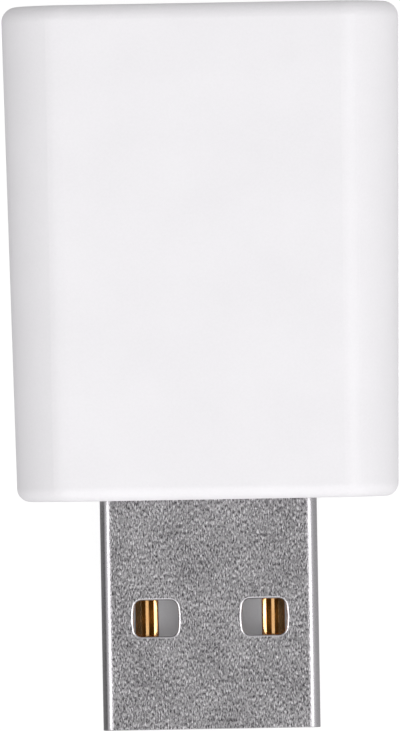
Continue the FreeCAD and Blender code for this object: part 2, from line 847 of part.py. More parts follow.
def build_aerial():
    """Printed aerial: a meander of one hairpin repeated across the board's far end, fed at one side."""
    aerial = new_body("antenna_trace")
    half = d.aerial_strip / 2
    pitch = d.aerial_pitch
    height = aerial_height
    hairpin = [
        (-half, -half),
        (half, -half),
        (half, height - half),
        (pitch - half, height - half),
        (pitch - half, -half),
        (pitch * 2 + half, -half),
        (pitch * 2 + half, half),
        (pitch + half, half),
        (pitch + half, height + half),
        (-half, height + half),
    ]
    base = add(aerial, "hairpin", "XY_Plane", ZERO, d.aerial_thickness, hairpin)
    count = max(1, int((2 * (post_x - d.post_diameter / 2).value - d.aerial_strip.value) / (2 * pitch.value)))
    doc.recompute()
    row = aerial.newObject("PartDesign::LinearPattern", "meander")
    row.Originals = [base]
    axis = next(feature for feature in aerial.Origin.OriginFeatures if feature.Role == "X_Axis")
    row.Direction = (axis, [""])
    row.Mode = "Spacing"
    row.setExpression("Offset", (pitch * 2).formula)
    row.Occurrences = count
    aerial.Tip = row
    place(aerial, -pitch * count, aerial_y, board_top)
    return aerial


def build_shield_can():
    """Shield can: a drawn lid with round corners, open underneath."""
    can = new_body("shield_can")
    half_x, half_y = d.can_width / 2, can_length / 2
    add(can, "lid", "XY_Plane", ZERO, d.can_height, rounded(-half_x, half_x, -half_y, half_y, d.can_corner))
    dress(can, "drawn_edge", "Fillet", d.can_sheet, lambda edge: all_at(edge, "z", d.can_height))
    inner_x, inner_y = half_x - d.can_sheet, half_y - d.can_sheet
    inner = rounded(-inner_x, inner_x, -inner_y, inner_y, d.can_corner - d.can_sheet)
    cut(can, "room", "XY_Plane", ZERO, d.can_height - d.can_sheet, inner)
    place(can, ZERO, can_y, board_top)
    return can


def build_radio_chip():
    """Radio chip: a flat square package with a dimple at its first lead."""
    chip = new_body("radio_chip")
    add(chip, "package", "XY_Plane", ZERO, d.chip_height, centred(d.chip_width, d.chip_width))
    corner = d.chip_width / 2 - d.dimple_diameter
    floor = d.chip_height - d.dimple_depth
    cut_round(chip, "first_lead_dimple", floor, d.chip_height, d.dimple_diameter, -corner, corner)
    place(chip, chip_x(), can_y, board_top)
    return chip


def chip_x():
    """The chip stands against the left side of the can's room."""
    return -(d.can_width / 2 - d.can_sheet - d.board_end_gap - d.chip_width / 2)


def build_crystal():
    """Crystal: a ceramic base with a seam-welded metal lid."""
    crystal = new_body("crystal")
    add(crystal, "ceramic", "XY_Plane", ZERO, d.crystal_base, centred(d.crystal_width, d.crystal_length))
    lid = centred(d.crystal_width - d.can_sheet * 2, d.crystal_length - d.can_sheet * 2)
    add(crystal, "lid", "XY_Plane", d.crystal_base, d.crystal_height, lid)
    corner_gap = d.can_sheet + d.board_end_gap
    x = d.can_width / 2 - corner_gap - d.crystal_width / 2
    y = can_y + can_length / 2 - corner_gap - d.crystal_length / 2
    place(crystal, x, y, board_top)
    return crystal


def build_regulator():
    """Voltage regulator: a moulded package with drafted long sides."""
    regulator = new_body("voltage_regulator")
    half = d.regulator_length / 2
    draft = d.regulator_draft
    top = d.regulator_height
    side = [(-half, ZERO), (half, ZERO), (half - draft, top), (-half + draft, top)]
    add(regulator, "package", "YZ_Plane", -d.regulator_width / 2, d.regulator_width / 2, side)
    slot_low, slot_high = -half, -half + draft
    for name, x in (("left", -d.lead_pitch), ("middle", ZERO), ("right", d.lead_pitch)):
        entry = rectangle(x - d.lead_width / 2, x + d.lead_width / 2, slot_low, slot_high)
        cut(regulator, f"{name}_lead_entry", "XY_Plane", ZERO, d.lead_thickness, entry)
    tab = rectangle(-d.lead_pitch / 2, d.lead_pitch / 2, half - draft, half)
    cut(regulator, "tab_entry", "XY_Plane", ZERO, d.lead_thickness, tab)
    place(regulator, regulator_x(), supply_y, board_top)
    return regulator


def regulator_x():
    """The regulator stands near the board's left edge."""
    return -(board_half - d.board_corner - d.regulator_width / 2)


def build_regulator_leads():
    """Lead frame of the regulator: three leads towards the plug and a wide tab behind."""
    leads = new_body("regulator_leads")
    half = d.regulator_length / 2
    draft = d.regulator_draft
    for name, x in (("left", -d.lead_pitch), ("middle", ZERO), ("right", d.lead_pitch)):
        lead = rectangle(x - d.lead_width / 2, x + d.lead_width / 2, -half - d.lead_reach, -half + draft)
        add(leads, f"{name}_lead", "XY_Plane", ZERO, d.lead_thickness, lead)
    tab = rectangle(-d.lead_pitch / 2, d.lead_pitch / 2, half - draft, half + d.lead_reach)
    add(leads, "tab", "XY_Plane", ZERO, d.lead_thickness, tab)
    place(leads, regulator_x(), supply_y, board_top)
    return leads


def build_two_ended(name, width, length, height, x, y):
    """A chip component: a body with a slightly larger fired end cap at each end."""
    component = new_body(name)
    cap = length * d.end_cap_share
    step = width * d.end_cap_step_share
    inner = rectangle(-width / 2 + step, width / 2 - step, step, height - step)
    add(component, "middle", "XZ_Plane", -length / 2, length / 2, inner)
    outer = rectangle(-width / 2, width / 2, ZERO, height)
    for end, low in (("near", -length / 2), ("far", length / 2 - cap)):
        add(component, f"{end}_cap", "XZ_Plane", low, low + cap, outer)
    place(component, x, y, board_top)
    return component


def build_indicator_light():
    """Indicator light: a base with its clear lens moulded on."""
    light = new_body("indicator_led")
    add(light, "base", "XY_Plane", ZERO, d.light_height / 2, centred(d.light_width, d.light_length))
    lens = centred(d.lens_width, d.lens_length)
    add(light, "lens", "XY_Plane", d.light_height / 2, d.light_height, lens)
    place(light, ZERO, supply_y, board_top)
    return light


# Reset switch, under the board, built with its foot on the board's underside


cover_level = d.switch_height
dome_foot = d.switch_floor


def build_switch_base():
    """Switch base: a moulded cup with a round well."""
    base = new_body("switch_base")
    add(base, "block", "XY_Plane", ZERO, d.switch_height, centred(d.switch_width, d.switch_length))
    cut_round(base, "well", d.switch_floor, d.switch_height, d.well_diameter)
    place(base, ZERO, switch_y, board_under, face_down=True)
    return base


def build_switch_terminals():
    """Four soldered feet of the switch, at its corners."""
    terminals = new_body("switch_terminals")
    edge = d.switch_width / 2
    row = d.switch_length / 2 - d.terminal_width / 2
    for end, y in (("near", -row), ("far", row)):
        for hand, low in (("left", -edge - d.terminal_reach), ("right", edge)):
            foot = rectangle(low, low + d.terminal_reach, y - d.terminal_width / 2, y + d.terminal_width / 2)
            add(terminals, f"{end}_{hand}_foot", "XY_Plane", ZERO, d.terminal_thickness, foot)
    place(terminals, ZERO, switch_y, board_under, face_down=True)
    return terminals


def build_switch_dome():
    """Snap dome: a shallow cap of spring sheet, revolved, with its rim on the well's floor."""
    dome = new_body("switch_dome")
    half = d.dome_diameter / 2
    rim = half - d.dome_sheet * 2
    rise = d.dome_rise - d.dome_sheet
    outer = (half * half + d.dome_rise * d.dome_rise) / (2 * d.dome_rise)
    inner = (rim * rim + rise * rise) / (2 * rise)
    sketch = sketch_at(dome, "section", "XZ_Plane", ZERO)
    outline(
        sketch,
        [
            (rim, dome_foot),
            (half, dome_foot, outer),
            (ZERO, dome_foot + d.dome_rise),
            (ZERO, dome_foot + rise, inner, "clockwise"),
        ],
    )
    turned = dome.newObject("PartDesign::Revolution", "cap")
    turned.Profile = sketch
    turned.ReferenceAxis = (sketch, ["V_Axis"])
    turned.Angle = 360
    place(dome, ZERO, switch_y, board_under, face_down=True)
    return dome


def build_switch_plunger():
    """Plunger: a stem through the cover on a flange that rests on the dome."""
    plunger = new_body("switch_plunger")
    foot = dome_foot + d.dome_rise + d.dome_gap
    add_round(plunger, "flange", foot, foot + d.plunger_flange_thickness, d.plunger_flange)
    top = cover_level + d.cover_thickness + d.plunger_rise
    add_round(plunger, "stem", foot + d.plunger_flange_thickness, top, d.plunger_diameter)
    dress(plunger, "stem_round", "Fillet", d.plunger_round, lambda edge: all_at(edge, "z", top))
    place(plunger, ZERO, switch_y, board_under, face_down=True)
    return plunger


def build_switch_cover():
    """Cover plate of the switch, with a hole for the stem."""
    cover = new_body("switch_cover")
    top = cover_level + d.cover_thickness
    add(cover, "plate", "XY_Plane", cover_level, top, centred(d.switch_width, d.switch_length))
    hole = d.plunger_diameter + d.plunger_gap * 2
    cut_round(cover, "stem_hole", cover_level, top, hole)
    place(cover, ZERO, switch_y, board_under, face_down=True)
    return cover


# The whole object

subparts = [build_front_shell(), build_rear_shell(), build_plug_shell(), build_plug_insulator()]
subparts += [build_contact(*contact) for contact in contact_places()]
subparts += [build_plug_solder(), build_circuit_board(), build_aerial(), build_shield_can()]
subparts += [build_radio_chip(), build_crystal(), build_regulator(), build_regulator_leads()]

for name, x in (("input_capacitor", supply_pitch), ("output_capacitor", supply_pitch * 2)):
    size = (d.capacitor_width, d.capacitor_length, d.capacitor_width)
    subparts.append(build_two_ended(name, *size, x, supply_y))
size = (d.light_width, d.light_length, d.light_resistor_height)
subparts.append(build_two_ended("led_resistor", *size, supply_pitch / 2, supply_y))

small_y = can_y - can_length / 2 + d.can_sheet + d.board_end_gap + d.small_length / 2
for name, x in (
    ("chip_capacitor", d.can_width / 2 - d.small_width * 2),
    ("crystal_capacitor", d.can_width / 2 - d.small_width * 4),
    ("matching_inductor", d.can_width / 2 - d.small_width * 6),
):
    subparts.append(build_two_ended(name, d.small_width, d.small_length, d.small_width, x, small_y))
size = (d.small_width, d.small_length, d.small_resistor_height)
subparts.append(build_two_ended("pull_up_resistor", *size, board_half - d.small_width * 2, can_y))
subparts.append(build_indicator_light())
subparts += [build_switch_base(), build_switch_terminals(), build_switch_dome()]
subparts += [build_switch_plunger(), build_switch_cover()]

doc.recompute()
for item in doc.Objects:
    if "Invalid" in item.State or "Error" in item.State:
        raise RuntimeError(f"{item.Label} failed: {item.State}")
for part in subparts:
    if part.Shape.isNull() or not part.Shape.isValid():
        raise RuntimeError(f"{part.Label} has no valid shape")

os.makedirs("parts", exist_ok=True)
for part in subparts:
    part.Shape.exportStep(f"parts/{part.Label}.step")
    box = part.Shape.BoundBox
    spans = ", ".join(f"{low:.2f} to {high:.2f}" for low, high in (
        (box.XMin, box.XMax), (box.YMin, box.YMax), (box.ZMin, box.ZMax)
    ))
    print(f"{part.Label}: {len(part.Shape.Solids)} solids, {part.Shape.Volume:.3f} mm3, {spans}")
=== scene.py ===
"""The looks of a signal repeater with a plug, lying on its flat back and seen from above.

Every size is in metres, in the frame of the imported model: the plug points along -Y, the front face along +Z.
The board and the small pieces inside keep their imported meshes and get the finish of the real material.
The contacts are made again here, as stamped strips with rolled edges, because the light on them shows their
form.
"""

import logging
import math
from abc import ABC, abstractmethod
from dataclasses import dataclass
from enum import Enum

import bpy
import numpy as np
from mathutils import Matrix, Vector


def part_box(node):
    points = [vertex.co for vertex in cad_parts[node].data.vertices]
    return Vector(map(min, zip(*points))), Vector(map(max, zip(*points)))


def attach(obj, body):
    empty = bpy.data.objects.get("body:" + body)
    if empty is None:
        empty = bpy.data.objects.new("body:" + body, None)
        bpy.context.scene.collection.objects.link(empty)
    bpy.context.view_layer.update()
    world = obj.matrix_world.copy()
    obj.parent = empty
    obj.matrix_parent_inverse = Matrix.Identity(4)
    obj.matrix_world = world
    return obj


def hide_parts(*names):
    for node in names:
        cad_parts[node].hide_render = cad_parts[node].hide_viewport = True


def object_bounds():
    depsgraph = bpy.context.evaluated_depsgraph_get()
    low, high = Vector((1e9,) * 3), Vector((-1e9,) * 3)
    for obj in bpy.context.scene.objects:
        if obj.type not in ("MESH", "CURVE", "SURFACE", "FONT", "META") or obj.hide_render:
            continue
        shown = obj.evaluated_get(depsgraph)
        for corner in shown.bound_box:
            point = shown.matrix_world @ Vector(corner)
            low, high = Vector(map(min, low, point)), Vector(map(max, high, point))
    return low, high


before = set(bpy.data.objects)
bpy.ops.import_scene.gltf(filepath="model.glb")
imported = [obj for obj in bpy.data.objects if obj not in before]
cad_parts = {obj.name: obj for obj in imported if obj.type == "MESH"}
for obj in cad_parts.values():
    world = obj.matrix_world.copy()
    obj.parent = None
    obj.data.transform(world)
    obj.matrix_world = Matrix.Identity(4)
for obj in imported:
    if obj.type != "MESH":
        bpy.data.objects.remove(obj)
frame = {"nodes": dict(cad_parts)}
cad_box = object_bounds()

Tree = bpy.types.NodeTree
Socket = bpy.types.NodeSocket

MM = 0.001
CASE_BODY = "case"
WHITE = "#FFFFFF"
# Painted highlight and shade of the gold contacts: pale colour on the bright lines, deep amber between.
PAINTED_SHEEN = "painted_sheen"  # A strip's attribute: 1 on its bright lines, 0 between them.
SHARP_ANGLE = 40.0  # Degrees between two faces past which their edge is drawn sharp.
WAVE_SCALE = 2 / math.tau  # Scale at which a band of the wave texture is 1 wide, to within 2 percent.

# Numbers of the Mix node's sockets for colours, since its sockets share their names.
SHARE, FIRST, SECOND, MIXED = 0, 6, 7, 2

log = logging.getLogger("scene")


class Slot(Enum):
    """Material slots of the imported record."""

    CASE = "case_plastic"
    PLUG = "plug_steel"
    INSULATOR = "insulator_plastic"
    CONTACT = "contact_gold"
    SOLDER = "solder"
    BOARD = "board_laminate"
    COPPER = "copper"
    CAN = "can_steel"
    EPOXY = "black_epoxy"
    CERAMIC = "ceramic_brown"
    LENS = "light_lens"
    NYLON = "switch_nylon"


class Lit(Enum):
    """What a lamp lights."""

    ALL = "everything"
    MATT = "matt surfaces, and no gloss"
    GLOSS = "gloss, and no matt surface"


def linear(code: str) -> tuple[float, float, float, float]:
    """Turns an sRGB hex colour to the linear values that a shader reads.

    A value is divided by 12.92 in the dark part of the curve, and raised to the power 2.4 above it.

    Args:
        code: Six hex digits, with or without a leading hash.

    Returns:
        Red, green and blue from 0 to 1, and an alpha of 1.
    """
    digits = code.lstrip("#")
    parts = (int(digits[at : at + 2], 16) / 255 for at in (0, 2, 4))
    red, green, blue = (p / 12.92 if p <= 0.04045 else ((p + 0.055) / 1.055) ** 2.4 for p in parts)
    return red, green, blue, 1.0


def add_node(
    tree: Tree, kind: str, inputs: dict[str | int, object] | None = None, **settings: object
) -> bpy.types.Node:
    """Adds one node with its settings, and sets or links its inputs.

    Args:
        tree: The tree that gets the node.
        kind: The node's type name.
        inputs: For each input, by name or number, a value or the output that feeds it.
        settings: Properties of the node itself.

    Returns:
        The new node.
    """
    node = tree.nodes.new(kind)
    for name, value in settings.items():
        setattr(node, name, value)
    for key, value in (inputs or {}).items():
        socket = node.inputs[key]
        if isinstance(value, Socket):
            tree.links.new(value, socket)
        else:
            socket.default_value = value
    return node


def per_metre(millimetres: float) -> float:
    """Turns the size of a pattern's grain to the scale that a texture node reads."""
    return 1.0 / (millimetres * MM)


@dataclass(frozen=True)
class Grain:
    """A pattern of lumps: its real size, how far it stretches along the plug, and its detail.

    Attributes:
        size: Width of one lump, in millimetres.
        stretch: How many times longer a lump is along Y than across.
        detail: Octaves of finer lumps.
        roughness: Share of each finer octave.
        swirl: How far the lumps are bent into short curved threads.
    """

    size: float
    stretch: float = 1.0
    detail: float = 2.0
    roughness: float = 0.5
    swirl: float = 0.0

    def field(self, tree: Tree) -> Socket:
        """Adds the pattern on object coordinates.

        Args:
            tree: The material's tree.

        Returns:
            The pattern's value, from 0 to 1 about a middle of 0.5.
        """
        place = add_node(tree, "ShaderNodeTexCoord").outputs["Object"]
        drawn_out = add_node(
            tree, "ShaderNodeMapping", {"Vector": place, "Scale": (1.0, 1.0 / self.stretch, 1.0)}
        ).outputs["Vector"]
        noise = add_node(
            tree,
            "ShaderNodeTexNoise",
            {
                "Vector": drawn_out,
                "Scale": per_metre(self.size),
                "Detail": self.detail,
                "Roughness": self.roughness,
                "Distortion": self.swirl,
            },
        )
        return noise.outputs["Fac"]


@dataclass(frozen=True)
class Surface:
    """What a finish's own nodes give to its shader.

    Attributes:
        colour: The colour.
        unevenness: Pattern that makes the gloss uneven.
        height: Pattern that stands up as relief.
    """

    colour: Socket
    unevenness: Socket
    height: Socket


@dataclass(frozen=True)
class Finish(ABC):
    """What every finish has: a name and the shader's constants.

    Attributes:
        name: Name of the material.
        relief: Height of the surface's texture, in millimetres.
        roughness: Roughness where the unevenness is lowest and where it is highest.
        spread: Values of the unevenness at which those two are reached. Noise seldom goes beyond these.
        metallic: 1 for a bare metal, 0 for the rest.
        ior: Index of refraction. A metal keeps the shader's own.
    """

    name: str
    relief: float = 0.002
    roughness: tuple[float, float] = (0.44, 0.56)
    spread: tuple[float, float] = (0.3, 0.7)
    metallic: float = 0.0
    ior: float = 1.53

    @abstractmethod
    def paint(self, tree: Tree) -> Surface:
        """Adds the finish's own nodes, and returns what they give to the shader."""

    def material(self) -> bpy.types.Material:
        """Builds the material.

        Returns:
            A material with one shader, whose bump and uneven gloss come from the finish's own patterns.
        """
        made = bpy.data.materials.new(self.name)
        made.use_nodes = True
        tree = made.node_tree
        tree.nodes.clear()
        surface = self.paint(tree)
        bump = add_node(
            tree, "ShaderNodeBump", {"Height": surface.height, "Strength": 1.0, "Distance": self.relief * MM}
        )
        gloss = add_node(
            tree,
            "ShaderNodeMapRange",
            {
                "Value": surface.unevenness,
                "From Min": self.spread[0],
                "From Max": self.spread[1],
                "To Min": self.roughness[0],
                "To Max": self.roughness[1],
            },
        )
        inputs = {
            "Base Color": surface.colour,
            "Roughness": gloss.outputs["Result"],
            "Normal": bump.outputs["Normal"],
            "Metallic": self.metallic,
        }
        if not self.metallic:
            inputs["IOR"] = self.ior
        shader = add_node(tree, "ShaderNodeBsdfPrincipled", inputs)
        add_node(tree, "ShaderNodeOutputMaterial", {"Surface": shader.outputs["BSDF"]})
        return made


@dataclass(frozen=True)
class MouldedPlastic(Finish):
    """Plastic moulded in a spark-eroded tool: even colour, fine matt grain and a little cloudiness.

    The grain breaks up the highlight along each crease, so that the case looks matt and not polished. Cast
    resin and fired ceramic are painted in the same way. The real grains are too fine to show, so they are
    drawn coarser, 0.06 to 0.14 mm wide.

    Attributes:
        colour: The plastic's colour.
        shade: Its colour in the lows of the grain and the clouds.
        grain: The tool's texture.
        cloud: Wide, faint clouds under it.
        tone_range: Sum of grain and cloud where the colour is the shade, and where it is full.
    """

    colour: str = "#F3F1F4"
    shade: str = "#EFEDF0"
    grain: Grain = Grain(0.14, detail=2.5, roughness=0.6)
    cloud: Grain = Grain(3.5)
    tone_range: tuple[float, float] = (0.7, 1.3)

    def paint(self, tree: Tree) -> Surface:
        """Adds the cloudy colour and the matt grain.

        Args:
            tree: The material's tree.

        Returns:
            The colour, with the grain as unevenness and relief.
        """
        grain = self.grain.field(tree)
        cloud = self.cloud.field(tree)
        both = add_node(tree, "ShaderNodeMath", {0: grain, 1: cloud}, operation="ADD").outputs["Value"]
        low, high = self.tone_range
        tone = add_node(tree, "ShaderNodeMapRange", {"Value": both, "From Min": low, "From Max": high})
        inputs = {SHARE: tone.outputs["Result"], FIRST: linear(self.shade), SECOND: linear(self.colour)}
        colour = add_node(tree, "ShaderNodeMix", inputs, data_type="RGBA").outputs[MIXED]
        return Surface(colour, grain, grain)


@dataclass(frozen=True)
class PlatedSteel(Finish):
    """Cold-rolled strip, folded and tin plated: mottled grey grain, drawn out a little along the strip.

    The mottling is the matt tin over the strip's rolled skin. The folds and the punched edges are burnished
    by the press tools, so the mottling is worn away there. The windows' side edges are also painted a much
    lighter grey, a painted highlight that makes them shine most.

    Attributes:
        dark: Lows of the mottling.
        light: Highs of the mottling.
        burnished: Colour of the folds and of the other punched edges.
        window_highlight: Colour of the windows' side edges, a painted highlight much lighter than the rest.
        grain: The mottling.
        stain: Wide, faint clouds over it.
        stain_share: How much of the clouds is added to the mottling.
        tone_range: Sum of both at the darkest and at the lightest.
        tone_power: How far the middle tones are darkened.
        fold_range: Largest part of the normal on a full fold and on a flat wall.
        smooth_from: How far folded the surface is where the mottling's relief ends.
        highlight_reach: Millimetres from the middle where the windows' painted highlight starts to fade and is
            gone.
        sideways: How much more the normal leans along X than along Y where that colour starts, and where it
            is full.
    """

    roughness: tuple[float, float] = (0.26, 0.34)
    metallic: float = 1.0
    dark: str = "#6F6D70"
    light: str = "#F8F5F8"
    burnished: str = "#A8A6A9"
    # A painted highlight: the much lighter grey of the windows' side edges.
    window_highlight: str = "#E8E6E9"
    grain: Grain = Grain(0.07, stretch=2.6, detail=1.5, roughness=0.55, swirl=0.5)
    stain: Grain = Grain(2.4)
    stain_share: float = 0.16
    tone_range: tuple[float, float] = (0.329, 0.815)
    tone_power: float = 1.7
    fold_range: tuple[float, float] = (0.975, 0.998)
    smooth_from: float = 0.2
    highlight_reach: tuple[float, float] = (5.2, 5.304)
    sideways: tuple[float, float] = (-0.05, 0.1)

    @staticmethod
    def parts_of(tree: Tree, vector: Socket) -> list[Socket]:
        """The sizes of a vector's X, Y and Z parts, without their signs."""
        size = add_node(tree, "ShaderNodeVectorMath", {0: vector}, operation="ABSOLUTE").outputs["Vector"]
        return list(add_node(tree, "ShaderNodeSeparateXYZ", {"Vector": size}).outputs)

    def folded(self, tree: Tree) -> Socket:
        """How far the surface is from flat, since the box's walls all face along an axis and its folds don't.

        Args:
            tree: The material's tree.

        Returns:
            0 on a wall, where the largest part of the normal is 1, and 1 on a fold.
        """
        normal = add_node(tree, "ShaderNodeNewGeometry").outputs["Normal"]
        largest, *others = self.parts_of(tree, normal)
        for part in others:
            wider = add_node(tree, "ShaderNodeMath", {0: largest, 1: part}, operation="MAXIMUM")
            largest = wider.outputs["Value"]
        fold, wall = self.fold_range
        inputs = {"Value": largest, "From Min": fold, "From Max": wall, "To Min": 1.0, "To Max": 0.0}
        return add_node(tree, "ShaderNodeMapRange", inputs).outputs["Result"]

    def edges(self, tree: Tree) -> Socket:
        """Works out the colour where the skin is worn bare, with a painted highlight on the windows' side
        edges.

        Args:
            tree: The material's tree.

        Returns:
            The painted highlight within reach of the middle where the normal leans more along X than along Y,
            and the burnished colour elsewhere.
        """
        place = add_node(tree, "ShaderNodeTexCoord").outputs["Object"]
        normal = add_node(tree, "ShaderNodeNewGeometry").outputs["Normal"]
        off_middle = self.parts_of(tree, place)[0]
        across, along, _up = self.parts_of(tree, normal)
        near, far = (reach * MM for reach in self.highlight_reach)
        inputs = {"Value": off_middle, "From Min": near, "From Max": far, "To Min": 1.0, "To Max": 0.0}
        within = add_node(tree, "ShaderNodeMapRange", inputs).outputs["Result"]
        excess = add_node(
            tree, "ShaderNodeMath", {0: across, 1: along}, operation="SUBTRACT"
        ).outputs["Value"]
        start, full = self.sideways
        side = add_node(tree, "ShaderNodeMapRange", {"Value": excess, "From Min": start, "From Max": full})
        share = add_node(
            tree, "ShaderNodeMath", {0: within, 1: side.outputs["Result"]}, operation="MULTIPLY"
        ).outputs["Value"]
        # The windows' side edges get a painted highlight, the other edges the burnished colour.
        inputs = {SHARE: share, FIRST: linear(self.burnished), SECOND: linear(self.window_highlight)}
        return add_node(tree, "ShaderNodeMix", inputs, data_type="RGBA").outputs[MIXED]

    def paint(self, tree: Tree) -> Surface:
        """Adds the mottled grain, and takes it off the folds and edges, which get the burnished colour and,
        on the windows' side edges, a painted highlight.

        The tone is the grain plus a share of the stain, over the tone range, raised to the tone power.

        Args:
            tree: The material's tree.

        Returns:
            The colour, with the grain as unevenness, and as relief where the surface is flat.
        """
        grain = self.grain.field(tree)
        stain = self.stain.field(tree)
        both = add_node(
            tree, "ShaderNodeMath", {0: stain, 1: self.stain_share, 2: grain}, operation="MULTIPLY_ADD"
        ).outputs["Value"]
        low, high = self.tone_range
        tone = add_node(
            tree, "ShaderNodeMapRange", {"Value": both, "From Min": low, "From Max": high}
        ).outputs["Result"]
        share = add_node(
            tree, "ShaderNodeMath", {0: tone, 1: self.tone_power}, operation="POWER"
        ).outputs["Value"]
        inputs = {SHARE: share, FIRST: linear(self.dark), SECOND: linear(self.light)}
        mottled = add_node(tree, "ShaderNodeMix", inputs, data_type="RGBA").outputs[MIXED]
        bare = self.folded(tree)
        inputs = {SHARE: bare, FIRST: mottled, SECOND: self.edges(tree)}
        colour = add_node(tree, "ShaderNodeMix", inputs, data_type="RGBA").outputs[MIXED]
        inputs = {"Value": bare, "From Max": self.smooth_from, "To Min": 1.0, "To Max": 0.0}
        covered = add_node(tree, "ShaderNodeMapRange", inputs).outputs["Result"]
        height = add_node(
            tree, "ShaderNodeMath", {0: grain, 1: covered}, operation="MULTIPLY"
        ).outputs["Value"]
        return Surface(colour, grain, height)


@dataclass(frozen=True)
class PolishedMetal(Finish):
    """Plated or drawn metal with a bright skin: faint lines along the strip, and a little tarnish.

    The real lines are too fine to show, so they are drawn coarser, at 0.05 mm or more, which is about one
    pixel of the photograph.

    Attributes:
        colour: The bright metal's colour.
        tarnish: Its colour in the clouds.
        line: The drawn lines, or the ripples of solder, which stand up as relief.
        cloud: The tarnish, which also dulls the gloss.
        tarnish_range: Value of the cloud where the tarnish starts, and where it is full.
    """

    relief: float = 0.0004
    roughness: tuple[float, float] = (0.1, 0.18)
    metallic: float = 1.0
    colour: str = "#F2C48C"
    tarnish: str = "#E8B47C"
    line: Grain = Grain(0.05, stretch=30.0, detail=1.0)
    cloud: Grain = Grain(0.9)
    tarnish_range: tuple[float, float] = (0.4, 0.75)

    def paint(self, tree: Tree) -> Surface:
        """Adds the drawn lines and the tarnish.

        Args:
            tree: The material's tree.

        Returns:
            The colour, with the tarnish as unevenness and the lines as relief.
        """
        line = self.line.field(tree)
        cloud = self.cloud.field(tree)
        start, full = self.tarnish_range
        share = add_node(tree, "ShaderNodeMapRange", {"Value": cloud, "From Min": start, "From Max": full})
        inputs = {SHARE: share.outputs["Result"], FIRST: linear(self.colour), SECOND: linear(self.tarnish)}
        colour = add_node(tree, "ShaderNodeMix", inputs, data_type="RGBA").outputs[MIXED]
        return Surface(colour, cloud, line)


@dataclass(frozen=True)
class GoldPlate(PolishedMetal):
    """Hard gold plated on a stamped strip, painted pale on its bright lines and deep amber between them.

    The pale lines are a painted highlight, and the deep amber between them a painted shade.

    Attributes:
        deep: Colour of the plate between the lines, a painted shade.
    """

    deep: str = "#DC8930"

    def paint(self, tree: Tree) -> Surface:
        """Lays the deep colour, a painted shade, between the strip's bright lines, which keep a painted
        highlight.

        Args:
            tree: The material's tree.

        Returns:
            The polished skin, with the painted highlight on the bright lines and the deep colour, a painted
            shade, between them.
        """
        skin = super().paint(tree)
        # The strip's painted highlight: pale colour on the bright lines, a painted shade of deep amber
        # between.
        painted_sheen = add_node(tree, "ShaderNodeAttribute", attribute_name=PAINTED_SHEEN).outputs["Fac"]
        inputs = {SHARE: painted_sheen, FIRST: linear(self.deep), SECOND: skin.colour}
        colour = add_node(tree, "ShaderNodeMix", inputs, data_type="RGBA").outputs[MIXED]
        return Surface(colour, skin.unevenness, skin.height)


@dataclass(frozen=True)
class PrintedBoard(Finish):
    """Glass-epoxy laminate under green solder mask: the weave prints through as a fine check.

    Attributes:
        colour: The mask's colour.
        ridge: Its colour over the weave's ridges.
        thread: Spacing of the glass threads, in millimetres.
        waviness: How far the threads wander.
    """

    relief: float = 0.004
    roughness: tuple[float, float] = (0.35, 0.45)
    spread: tuple[float, float] = (0.0, 1.0)
    ior: float = 1.5
    colour: str = "#1E5A3A"
    ridge: str = "#2C7048"
    thread: float = 0.45
    waviness: float = 1.0

    def paint(self, tree: Tree) -> Surface:
        """Args:
            tree: The material's tree.

        Returns:
            The colour, with the weave as unevenness and relief.
        """
        place = add_node(tree, "ShaderNodeTexCoord").outputs["Object"]
        inputs = {
            "Vector": place,
            "Scale": per_metre(self.thread) * WAVE_SCALE,
            "Distortion": self.waviness,
        }
        warp = add_node(tree, "ShaderNodeTexWave", inputs, bands_direction="X").outputs["Fac"]
        weft = add_node(tree, "ShaderNodeTexWave", inputs, bands_direction="Y").outputs["Fac"]
        both = add_node(tree, "ShaderNodeMath", {0: warp, 1: weft}, operation="ADD").outputs["Value"]
        weave = add_node(tree, "ShaderNodeMath", {0: both, 1: 0.5}, operation="MULTIPLY").outputs["Value"]
        inputs = {SHARE: weave, FIRST: linear(self.colour), SECOND: linear(self.ridge)}
        colour = add_node(tree, "ShaderNodeMix", inputs, data_type="RGBA").outputs[MIXED]
        return Surface(colour, weave, weave)


